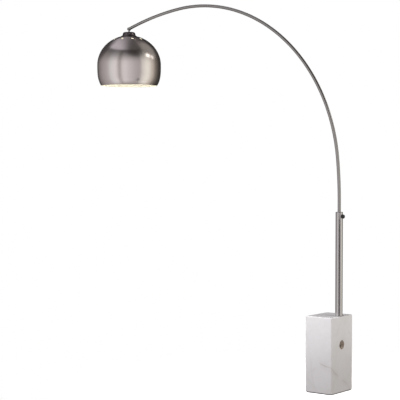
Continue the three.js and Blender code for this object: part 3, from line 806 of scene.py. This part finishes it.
class ARCLAMP_OT_rod(LampOperator, bpy.types.Operator):
    """Build the three sections of the curved rod"""

    bl_idname = "arc_lamp.rod"
    bl_label = "Rod"

    def build(self, sizes, colours):
        steel = length_brushed_finish("Rod steel", colours.rod, 0.18, (900, 900, 900))
        joints = [rod_length_at(angle) for angle in SECTION_ANGLES]
        half = FIT_GAP / 2
        sections = (
            ("rod_lower", "arc_rod_lower", 0, joints[0] - half, None),
            ("rod_middle", "arc_rod_middle", joints[0] + half, joints[1] - half, joints[0] + SCREW_OFFSET),
            ("rod_upper", "arc_rod_upper", joints[1] + half, ROD_END - ROD_END_GAP, joints[1] + SCREW_OFFSET),
        )
        for name, node, start, end, screw_at in sections:
            section = rod_section(name, start, end, sizes, screw_at, steel)
            finish_piece(section, name, "arm", "rod_steel", node, steel)


class ARCLAMP_OT_knuckle(LampOperator, bpy.types.Operator):
    """Build the two halves of the tilting knuckle"""

    bl_idname = "arc_lamp.knuckle"
    bl_label = "Knuckle"

    radius = 0.009
    half = 0.0075
    gap = 0.001
    room = 0.0106

    def build(self, sizes, colours):
        nickel = spun_finish("Knuckle nickel", (0.36, 0.345, 0.34), 0.22, PIN, 0.0)
        self.rod_half(sizes.rod_radius, nickel)
        self.shade_half(nickel)

    def disc(self, start, end):
        outline = tube_profile(SCREW_HOLE, self.radius, start, end)
        return move(lathe("disc", softened(outline, 0.0006, 4), 96), turn=TURN_TO_Y)

    def rod_half(self, rod_radius, nickel):
        angle = rod_place(ROD_END)[2]
        direction = Vector((math.sin(angle), 0, -math.cos(angle)))
        turn = UP.rotation_difference(direction).to_matrix().to_4x4()
        disc = self.disc(-self.half, -self.gap)
        neck = punch(rod_radius, 0.003, 0.011, turn)
        shank = punch(rod_radius - 0.0021, 0.0107, 0.030, turn)
        inset = 0.0001  # keeps the neck's cut faces just inside the disc's faces
        side = punch(0.05, -0.030, inset - self.half, TURN_TO_Y)
        combine(neck, [punch(self.room, -self.gap - inset, 0.020, TURN_TO_Y), side])
        combine(disc, [combine(neck, [shank], "UNION")], "UNION")
        face_outwards(disc.data, 2e-5)
        finish_smooth(move(disc, PIN), "knuckle_on_rod", "arm", "knuckle_nickel", "knuckle_rod_half", nickel)

    def shade_half(self, nickel):
        disc = self.disc(self.gap, self.half)
        stem = punch(STEM_RADIUS, STEM_LOW.z - PIN.z, -0.005)
        room = punch(self.room, -0.020, self.gap, TURN_TO_Y)
        lead_way = punch(0.003, STEM_LOW.z - PIN.z - 0.001, -0.014, segments=32)
        combine(stem, [room, lead_way])
        combine(disc, [stem], "UNION")
        finish_smooth(
            move(disc, PIN), "knuckle_on_shade", "head", "knuckle_nickel", "knuckle_shade_half", nickel)


def dome_line(sizes, offset):
    """The dome's wall from the stem hole out to the rim, moved inwards by offset."""
    radius = sizes.shade_radius - offset
    crown_steps, skirt_steps = 56, 22
    first = math.asin(STEM_HOLE / radius)
    line = []
    for step in range(crown_steps + 1):
        angle = first + (QUARTER - first) * step / crown_steps
        line.append((radius * math.sin(angle), (sizes.shade_crown - offset) * math.cos(angle)))
    for step in range(1, skirt_steps + 1):
        drop = sizes.shade_skirt * step / skirt_steps
        line.append((radius * math.sqrt(1 - (drop / sizes.skirt_stretch) ** sizes.skirt_power), -drop))
    return line


class ARCLAMP_OT_shade(LampOperator, bpy.types.Operator):
    """Build the spun dome with its ring of vents"""

    bl_idname = "arc_lamp.shade"
    bl_label = "Shade"

    def build(self, sizes, colours):
        centre = PIN - UP * sizes.shade_drop
        metal = spun_finish("Spun nickel", colours.shade, 0.20, centre, 0.45)
        outer, inner = dome_line(sizes, 0), dome_line(sizes, sizes.shade_wall)
        dome = lathe("dome", inner + outer[::-1], 160)
        climb = math.asin(sizes.vent_ring / sizes.shade_radius)
        lean = math.atan2(math.sin(climb) / sizes.shade_radius, math.cos(climb) / sizes.shade_crown)
        run_tree(dome, shared("Punched ring", punched_ring_tree), {
            "Count": sizes.vent_count, "Ring Radius": sizes.vent_ring,
            "Height": sizes.shade_crown * math.cos(climb), "First Angle": VENT_START,
            "Lean": lean, "Hole Radius": sizes.vent_radius, "Depth": 0.012, "Material": metal})
        crown, stretch, power = sizes.shade_crown, sizes.skirt_stretch, sizes.skirt_power

        def ideal(point):
            if point.z > 0:
                rise = point.z / crown ** 2
            else:
                rise = -power / 2 * (-point.z) ** (power - 1) / stretch ** power
            out = 1 / sizes.shade_radius ** 2
            return Vector((point.x * out, point.y * out, rise)).normalized()

        smooth(dome, ideal)
        wear(dome, metal, enamel_finish(colours))
        for polygon in dome.data.polygons:
            polygon.material_index = 1 if polygon.normal.dot(polygon.center) < 0 else 0
        move(dome, centre)
        finish_piece(dome, "shade", "head", "shade_nickel", "shade_dome")


class ARCLAMP_OT_cap(LampOperator, bpy.types.Operator):
    """Build the vented cap over the dome's crown"""

    bl_idname = "arc_lamp.cap"
    bl_label = "Vent cap"

    def build(self, sizes, colours):
        metal = spun_finish("Dark nickel", colours.cap, 0.26, PIN - UP * 0.060, 0.0)
        outer, inner = self.outline(sizes.cap_radius), self.outline(sizes.cap_radius, CAP_WALL)
        cap = lathe("cap", inner + outer[::-1], 120)
        run_tree(cap, shared("Punched ring", punched_ring_tree), {
            "Count": sizes.cap_hole_count, "Ring Radius": sizes.cap_radius, "Height": CAP_HOLE_HEIGHT,
            "First Angle": 0.0, "Lean": QUARTER, "Hole Radius": sizes.cap_hole, "Depth": 0.018,
            "Material": metal})
        finish_smooth(move(cap, PIN), "cap", "head", "cap_nickel", "vent_cap", metal)

    def outline(self, radius, offset=0):
        """Flat top, round shoulder, then a flare down to the dome."""
        side, top = radius - offset, CAP_TOP - offset
        line = [(STEM_HOLE, top)]
        for step in range(11):
            angle = QUARTER * (1 - step / 10)
            line.append((side - CAP_SHOULDER + CAP_SHOULDER * math.cos(angle),
                         top - CAP_SHOULDER + CAP_SHOULDER * math.sin(angle)))
        flare = [(side + 0.0002, -0.036), (side + 0.005, -0.041), (0.049 - offset * 0.4, -0.0436)]
        start = Vector(line[-1])
        for step in range(1, 11):
            t = step / 10
            point = start * (1 - t) ** 3 + Vector(flare[0]) * (3 * t * (1 - t) ** 2)
            point += Vector(flare[1]) * (3 * t * t * (1 - t)) + Vector(flare[2]) * t ** 3
            line.append(tuple(point))
        return line


class ARCLAMP_OT_knob(LampOperator, bpy.types.Operator):
    """Build the grooved clamp knob"""

    bl_idname = "arc_lamp.knob"
    bl_label = "Clamp knob"

    def build(self, sizes, colours):
        plastic = plastic_finish("Black plastic", colours.plastic, 0.36, 700.0)
        radius, nose, skirt = sizes.knob_radius, 0.0055, 0.0035
        height = KNOB_HIGH.x - KNOB_LOW.x
        outline = [(0.0033, 0.007), (0.0033, 0), (radius - 0.0008, 0), (radius, 0.0008), (radius, skirt)]
        for step in range(1, 13):
            angle = QUARTER * step / 12
            outline.append((nose + (radius - nose) * math.cos(angle),
                            skirt + (height - skirt) * math.sin(angle)))
        outline = [(0, 0.007), *outline, (0, height)]
        knob = lathe("knob", softened(outline, 0.0005, 3, closed=False), 144, closed=False)
        run_tree(knob, shared("Punched ring", punched_ring_tree), {
            "Count": sizes.knob_groove_count, "Ring Radius": radius + 0.0004, "Height": height / 2,
            "First Angle": 0.0, "Lean": 0.0, "Hole Radius": 0.0014, "Depth": height * 1.4,
            "Material": plastic})
        move(knob, (KNOB_LOW.x, 0, (KNOB_LOW.z + KNOB_HIGH.z) / 2), TURN_TO_X)
        finish_smooth(knob, "knob", "knob", "black_plastic", "clamp_knob", plastic)


class ARCLAMP_OT_bulb(LampOperator, bpy.types.Operator):
    """Build the lamp holder, its ring and the bulb"""

    bl_idname = "arc_lamp.bulb"
    bl_label = "Holder and bulb"

    def build(self, sizes, colours):
        plastic = plastic_finish("Holder plastic", colours.plastic, 0.42, 600.0)
        way, bore, outer = 0.0052, 0.0145, HOLDER_RADIUS
        shelf = HOLDER_TOP - 0.022
        outline = [(way, HOLDER_TOP), (way, shelf), (bore, shelf), (bore, HOLDER_BOTTOM),
                   (outer - 0.002, HOLDER_BOTTOM), (outer, HOLDER_BOTTOM + 0.002),
                   (outer, HOLDER_TOP - 0.008), (outer - 0.006, HOLDER_TOP)]
        holder = lathe("holder", softened(outline, 0.0012, 4), 96)
        finish_smooth(move(holder, PIN), "holder", "head", "black_plastic", "lamp_holder", plastic)
        ring_top = HOLDER_TOP - 0.030
        outline = tube_profile(outer + FIT_GAP, outer + 0.004, ring_top - 0.009, ring_top)
        ring = lathe("ring", softened(outline, 0.001, 4), 96)
        finish_smooth(move(ring, PIN), "holder_collar", "head", "black_plastic", "holder_ring", plastic)
        self.screw_shell()
        self.globe(sizes.bulb_radius, bulb_finish(colours))

    def screw_shell(self):
        """A round-topped shell with a rolled thread."""
        bottom, shoulder = HOLDER_BOTTOM - 0.0015, BULB_BASE_TOP - 0.005
        segments, rings, pitch, depth = 96, 60, 0.0036, 0.0007
        turns = [2 * math.pi * i / segments for i in range(segments)]
        points = []
        for ring in range(rings + 1):
            z = bottom + (shoulder - bottom) * ring / rings
            fade = min(1, ring / 6, (rings - ring) / 6)
            for turn in turns:
                wave = 0.5 - 0.5 * math.cos(2 * math.pi * (z - bottom) / pitch - turn)
                out = BULB_BASE_RADIUS - depth * wave * fade
                points.append((out * math.cos(turn), out * math.sin(turn), z))
        for step in range(1, 6):
            climb = QUARTER * step / 6
            out = BULB_BASE_RADIUS - 0.004 * (1 - math.cos(climb))
            z = shoulder + 0.005 * math.sin(climb)
            points += [(out * math.cos(turn), out * math.sin(turn), z) for turn in turns]
        last = len(points) - segments
        faces = []
        for low in range(0, last, segments):
            for i in range(segments):
                j = (i + 1) % segments
                faces.append((low + i, low + j, low + segments + j, low + segments + i))
        faces += [tuple(range(last, last + segments)), tuple(reversed(range(segments)))]
        shell = mesh_object("shell", points, faces)
        face_outwards(shell.data)
        metal = spun_finish("Bulb shell", (0.66, 0.62, 0.52), 0.28, PIN, 0.0)
        finish_smooth(move(shell, PIN), "bulb_shell", "head", "bulb_cap", "bulb_base", metal, limit=50.0)

    def globe(self, radius, glass):
        top = HOLDER_BOTTOM - 0.0018
        outline = [(0, BULB_CENTRE - radius)]
        for step in range(1, 29):
            angle = -QUARTER + (BULB_SPAN + QUARTER) * step / 28
            outline.append((radius * math.cos(angle), BULB_CENTRE + radius * math.sin(angle)))
        start = Vector(outline[-1])
        shoulder = start + Vector((-math.sin(BULB_SPAN), math.cos(BULB_SPAN))) * 0.012
        end = Vector((BULB_NECK, top - 0.004))
        for step in range(1, 11):
            t = step / 10
            point = start * (1 - t) ** 2 + shoulder * (2 * t * (1 - t)) + end * t ** 2
            outline.append(tuple(point))
        outline += [(BULB_NECK, top), (0, top)]
        globe = lathe("globe", outline, 96, closed=False)
        finish_smooth(move(globe, PIN), "bulb", "head", "bulb_glass", "bulb_glass", glass)


class ARCLAMP_OT_fittings(LampOperator, bpy.types.Operator):
    """Give the small packed fittings their finishes"""

    bl_idname = "arc_lamp.fittings"
    bl_label = "Fittings"

    def build(self, sizes, colours):
        zinc = length_brushed_finish("Zinc plate", (0.52, 0.52, 0.53), 0.34, (90, 90, 90))
        brass = length_brushed_finish("Brass", (0.70, 0.52, 0.25), 0.30, (90, 90, 90))
        rubber = plastic_finish("Black rubber", (0.02, 0.02, 0.02), 0.72, 700.0)
        nylon = plastic_finish("Natural nylon", (0.72, 0.70, 0.64), 0.45, 500.0)
        plastic = plastic_finish("Lead sheath", colours.plastic, 0.45, 900.0)
        finishes = {
            "anchor_insert": brass, "bulb_contact": brass, "foot_gasket": rubber, "friction_washer": rubber,
            "rod_tail_bush": nylon, "clamp_tip": nylon, "lead_in_rod": plastic,
        }
        for name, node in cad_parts.items():
            if not node.hide_render:
                wear(node, finishes.get(name, zinc))


# ---- stage ----
CAMERA_PLACE = Vector((3.6477, -5.8270, 1.2530))
CAMERA_TURN = math.radians(37.74)
CAMERA_TILT = math.radians(2.02)
CAMERA_LENS = 117.0
SCREEN_DISTANCE = 0.55
SCREEN_HALF_WIDTH = 0.155
SCREEN_LOW = 0.30
SCREEN_HIGH = 0.90
FLOOR_GLOW = 0.78
FLOOR_FADE_START = 0.35
FLOOR_FADE_END = 1.60
TO_CAMERA = Vector((math.sin(CAMERA_TURN), -math.cos(CAMERA_TURN), 0))
TO_RIGHT = Vector((math.cos(CAMERA_TURN), math.sin(CAMERA_TURN), 0))

# Studio walls at eye level: (degrees from the camera's side, positive to its right, colour).
WALLS = (
    (-180, (0.045, 0.041, 0.041)),
    (-148, (0.085, 0.080, 0.080)),
    (-130, (0.26, 0.235, 0.235)),
    (-104, (0.41, 0.38, 0.38)),
    (-84, (0.49, 0.46, 0.46)),
    (-66, (0.76, 0.76, 0.77)),
    (-44, (0.90, 0.86, 0.86)),
    (-37, (0.50, 0.47, 0.45)),
    (-30, (0.26, 0.245, 0.23)),
    (-23, (0.80, 0.76, 0.76)),
    (-12, (0.80, 0.76, 0.77)),
    (8, (0.64, 0.60, 0.61)),
    (27, (0.50, 0.47, 0.48)),
    (44, (0.41, 0.38, 0.38)),
    (54, (0.90, 0.88, 0.82)),
    (76, (1.00, 0.97, 0.88)),
    (96, (0.62, 0.56, 0.49)),
    (116, (0.17, 0.15, 0.13)),
    (140, (0.038, 0.035, 0.032)),
    (180, (0.038, 0.035, 0.035)),
)


# Soft patches of the studio: (degrees round from the camera, degrees up, cosines of the angle from
# the middle where the patch fades out and where it is full, strength, colour).
DARK_PATCH = (33, 57, 0.82, 0.98, 0.8, (0.025, 0.018, 0.017))
CORNER_PATCH = (114, 42, 0.86, 0.97, 1.0, (0.30, 0.28, 0.26))
NOTCH_PATCH = (-136, 31, 0.91, 0.985, 0.75, (0.05, 0.045, 0.045))

# Area lights: (name, degrees round from the camera, distance, height, side, watts, colour).
SOFTBOXES = (
    ("key", -62, 0.66, 1.05, 0.5, 8.4, (1.0, 0.99, 1.0)),
    ("fill", 58, 0.82, 1.05, 0.5, 4.6, (1.0, 0.98, 0.96)),
)
SOFTBOX_AIM = Vector((0, 0, 0.35))


def round_from_camera(degrees):
    """The level direction that many degrees to the right of the camera's side."""
    turn = math.radians(degrees)
    return TO_CAMERA * math.cos(turn) + TO_RIGHT * math.sin(turn)


def hide_from(obj, *rays):
    for ray in rays:
        setattr(obj, "visible_" + ray, False)


class ARCLAMP_OT_stage(LampOperator, bpy.types.Operator):
    """Build the floor, the studio light and the camera"""

    bl_idname = "arc_lamp.stage"
    bl_label = "Stage"

    def build(self, sizes, colours):
        self.floor(colours)
        self.screen()
        self.surroundings()
        for softbox in SOFTBOXES:
            self.softbox(*softbox)
        self.camera()
        bpy.context.scene.view_settings.view_transform = "Standard"

    def floor(self, colours):
        disc = lathe("floor", [(0, 0), (0.5, 0), (1.0, 0), (2.0, 0)], 64, closed=False)
        if disc.data.polygons[0].normal.z < 0:
            disc.data.flip_normals()
        wear(disc, floor_finish(colours))
        hide_from(disc, "diffuse", "glossy", "transmission", "shadow")

    def screen(self):
        """A low dark screen in front, seen only in reflections: it draws the dark line down the post."""
        half, low, high = SCREEN_HALF_WIDTH, SCREEN_LOW, SCREEN_HIGH
        middle = POST_AXIS + TO_CAMERA * SCREEN_DISTANCE
        corners = [middle + TO_RIGHT * side + UP * z for side, z in
                   ((-half, low), (half, low), (half, high), (-half, high))]
        screen = mesh_object("screen", corners, [(0, 1, 2, 3)])
        wear(screen, plastic_finish("Screen cloth", (0.03, 0.028, 0.028), 0.85, 300.0))
        hide_from(screen, "camera", "diffuse", "transmission", "shadow")

    def surroundings(self):
        """White behind the object, and a soft studio around it for light and reflections."""
        world = bpy.data.worlds.new("Studio")
        bpy.context.scene.world = world
        world.use_nodes = True
        world.node_tree.nodes.clear()
        nodes = Nodes(world.node_tree)
        direction = nodes.node("ShaderNodeTexCoord", output=0)
        front = nodes.dot(direction, TO_CAMERA)
        right = nodes.dot(direction, TO_RIGHT)
        up = nodes.dot(direction, UP)
        turn = right.angle_over(front) / (2 * math.pi) + 0.5
        stops = [((degrees + 180) / 360, colour) for degrees, colour in WALLS]
        walls = nodes.node("ShaderNodeValToRGB", {"stops": stops}, {0: turn})
        room = nodes.mix(up.rise(0.05, 0.92, 0, 0.86), walls, (0.0, 0.0, 0.0))
        room = nodes.mix(up.rise(-0.95, -0.62, 1, 0), room, (0.30, 0.28, 0.25))
        room = self.patch(nodes, direction, room, *DARK_PATCH)
        skylight = self.toward(nodes, direction, 180, 78).rise(0.715, 0.775)
        sky = nodes.mix(right.rise(-0.45, 0.12), (0.56, 0.525, 0.56), (0.095, 0.085, 0.085))
        room = nodes.mix(skylight * right.rise(0.30, 0.60, 1, 0), room, sky)
        room = self.patch(nodes, direction, room, *CORNER_PATCH)
        room = self.patch(nodes, direction, room, *NOTCH_PATCH)
        spot = self.toward(nodes, direction, 85, 30).rise(0.991, 0.998)
        spot = spot.larger(self.toward(nodes, direction, 103, 22).rise(0.994, 0.999, 0, 0.6))
        room = nodes.mix(spot, room, (2.8, 2.65, 2.45))
        seen = nodes.node("ShaderNodeLightPath", output=0)
        backdrop = nodes.mix(seen, room, (1, 1, 1))
        glow = nodes.node("ShaderNodeBackground", values={"Color": backdrop})
        nodes.node("ShaderNodeOutputWorld", values={"Surface": glow})

    def toward(self, nodes, direction, degrees, lift):
        """How nearly a ray points that many degrees round from the camera's side and up by lift."""
        rise = math.radians(lift)
        return nodes.dot(direction, round_from_camera(degrees) * math.cos(rise) + UP * math.sin(rise))

    def patch(self, nodes, direction, room, degrees, lift, edge, core, strength, colour):
        factor = self.toward(nodes, direction, degrees, lift).rise(edge, core) * strength
        return nodes.mix(factor, room, colour)

    def softbox(self, name, degrees, distance, height, side, power, colour):
        place = round_from_camera(degrees) * distance + UP * height
        light = bpy.data.lights.new(name, "AREA")
        light.shape = "RECTANGLE"
        light.size, light.size_y = side, side
        light.energy = power
        light.color = colour
        box = new_object(name, light)
        box.location = place
        box.rotation_euler = (SOFTBOX_AIM - place).to_track_quat("-Z", "Y").to_euler()
        hide_from(box, "camera", "glossy")

    def camera(self):
        data = bpy.data.cameras.new("camera")
        data.lens = CAMERA_LENS
        data.sensor_width = 36
        data.clip_end = 100
        camera = new_object("camera", data)
        forward = -TO_CAMERA * math.cos(CAMERA_TILT) - UP * math.sin(CAMERA_TILT)
        camera.location = CAMERA_PLACE
        camera.rotation_euler = forward.to_track_quat("-Z", "Y").to_euler()
        bpy.context.scene.camera = camera


OPERATORS = (
    ARCLAMP_OT_block, ARCLAMP_OT_post, ARCLAMP_OT_rod, ARCLAMP_OT_knuckle, ARCLAMP_OT_shade,
    ARCLAMP_OT_cap, ARCLAMP_OT_knob, ARCLAMP_OT_bulb, ARCLAMP_OT_fittings, ARCLAMP_OT_stage,
)


class ARCLAMP_PT_panel(bpy.types.Panel):
    """Lists the lamp's settings and its building steps"""

    bl_idname = "ARCLAMP_PT_panel"
    bl_label = "Arc floor lamp"
    bl_space_type = "VIEW_3D"
    bl_region_type = "UI"
    bl_category = "Arc lamp"

    def draw(self, context):
        for group in (context.scene.arc_lamp_sizes, context.scene.arc_lamp_colours):
            column = self.layout.column()
            for name in group.__annotations__:
                column.prop(group, name)
        for operator in OPERATORS:
            self.layout.operator(operator.bl_idname)


CLASSES = (LampSizes, LampColours, *OPERATORS, ARCLAMP_PT_panel)


def register():
    for cls in CLASSES:
        bpy.utils.register_class(cls)
    bpy.types.Scene.arc_lamp_sizes = bpy.props.PointerProperty(type=LampSizes)
    bpy.types.Scene.arc_lamp_colours = bpy.props.PointerProperty(type=LampColours)


def unregister():
    del bpy.types.Scene.arc_lamp_colours
    del bpy.types.Scene.arc_lamp_sizes
    for cls in reversed(CLASSES):
        bpy.utils.unregister_class(cls)


def main():
    register()
    for operator in OPERATORS:
        module, name = operator.bl_idname.split(".")
        getattr(getattr(bpy.ops, module), name)()


if __name__ == "__main__":
    main()
